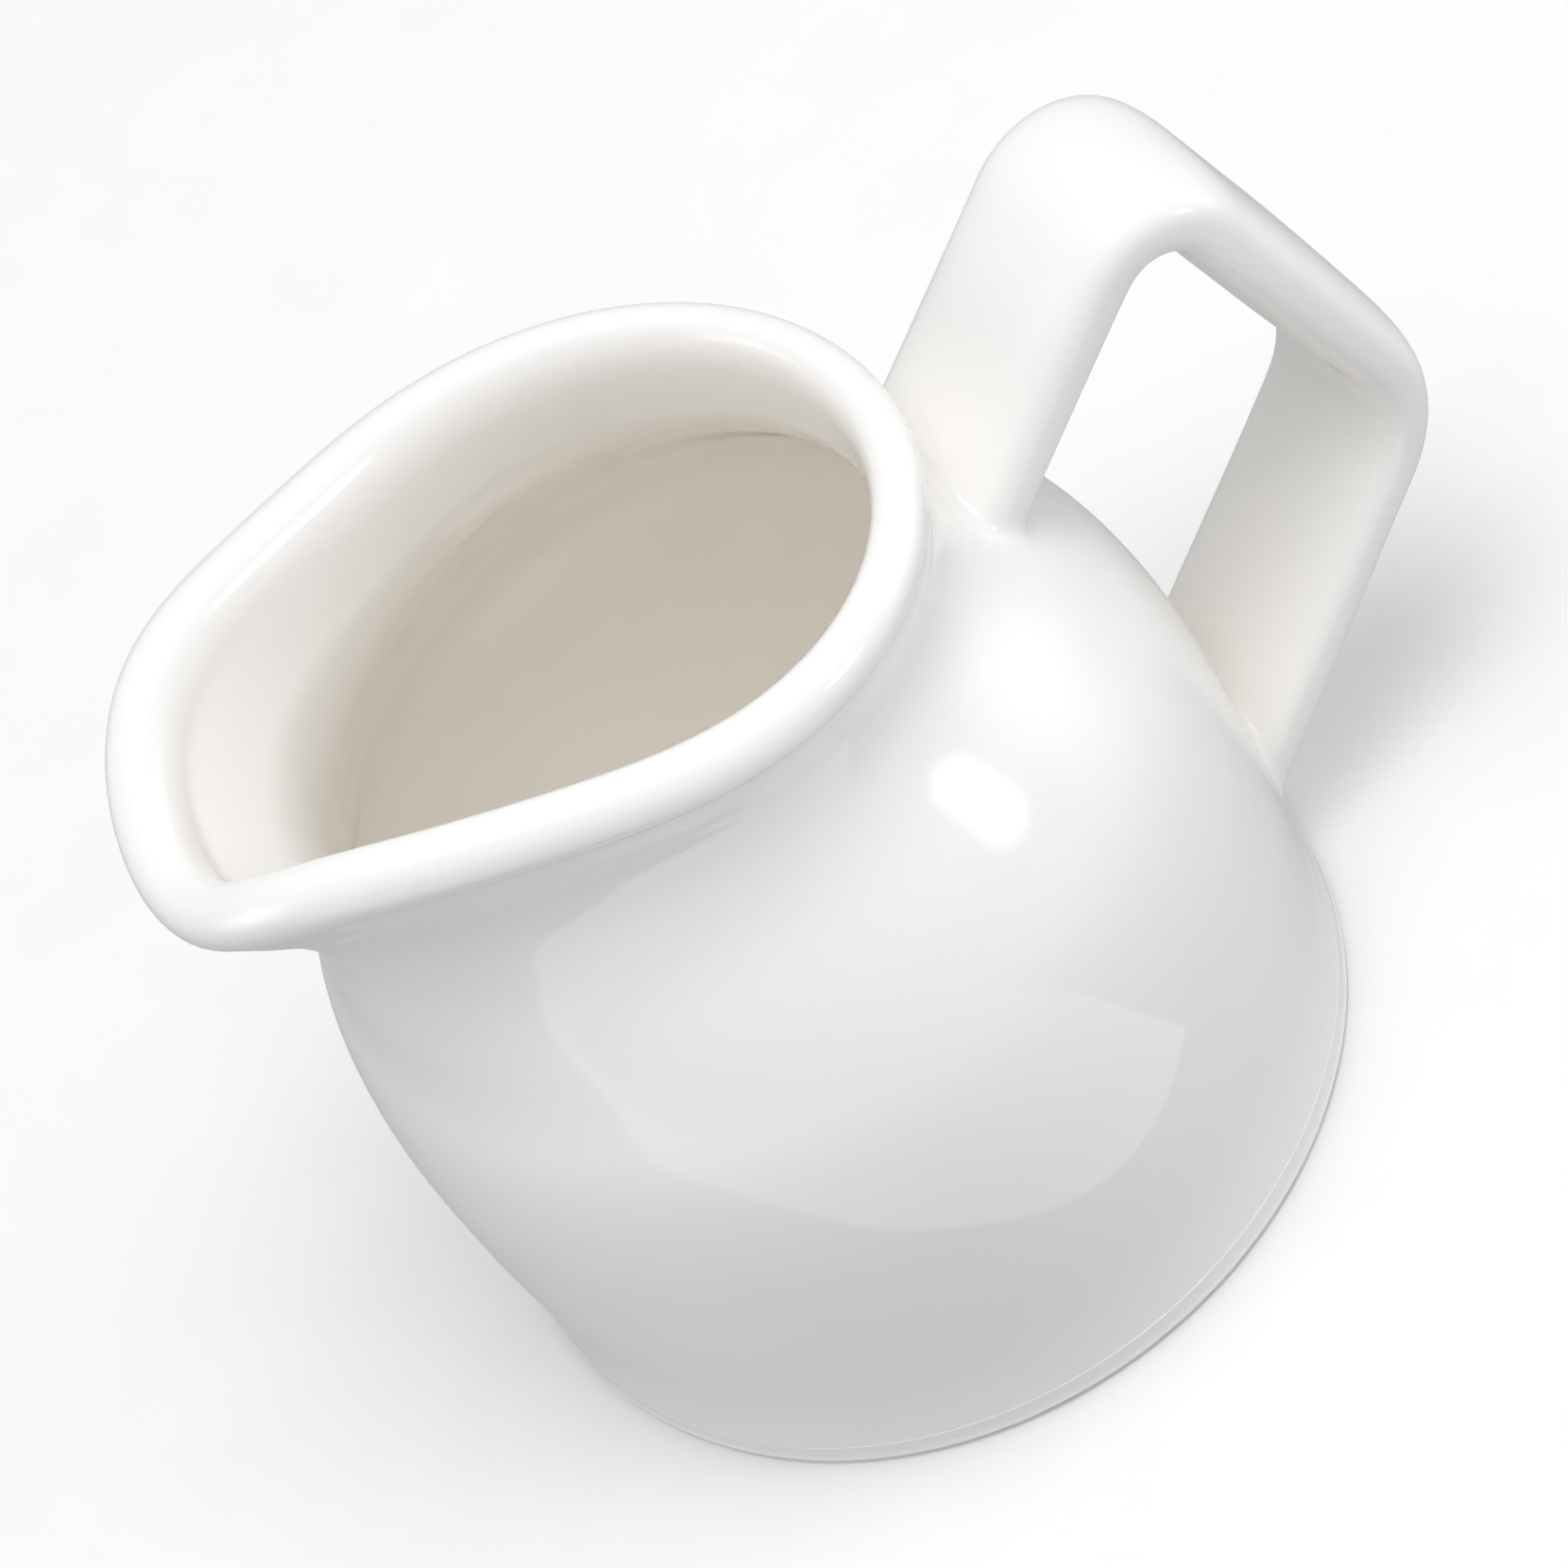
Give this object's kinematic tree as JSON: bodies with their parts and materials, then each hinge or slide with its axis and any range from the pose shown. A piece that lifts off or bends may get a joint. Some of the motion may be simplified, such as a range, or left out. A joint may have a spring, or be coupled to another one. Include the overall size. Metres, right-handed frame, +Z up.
{
  "type": "ceramic pitcher",
  "caption": "Small white glazed ceramic pitcher with a round belly, a pulled pouring spout, a thick rounded lip and an angular strap handle on a plain foot ring.",
  "frame": {"origin": "centre of the footprint of the whole jug's box, on the surface that it stands on; the body's axis is at X = -14.2 mm", "axes": "+Z up along the body's axis, +X from the spout towards the handle"},
  "size_m": [0.127, 0.0902, 0.0976],
  "materials": {
    "glaze": "clear gloss glaze over a slightly warm white body",
    "biscuit": "fired clay, wiped free of glaze on its bearing face"
  },
  "bodies": {
    "root": {"body_shell": "glaze", "foot_ring": "biscuit", "handle": "glaze", "upper_handle_joint": "glaze", "lower_handle_joint": "glaze"}
  },
  "joints": []
}
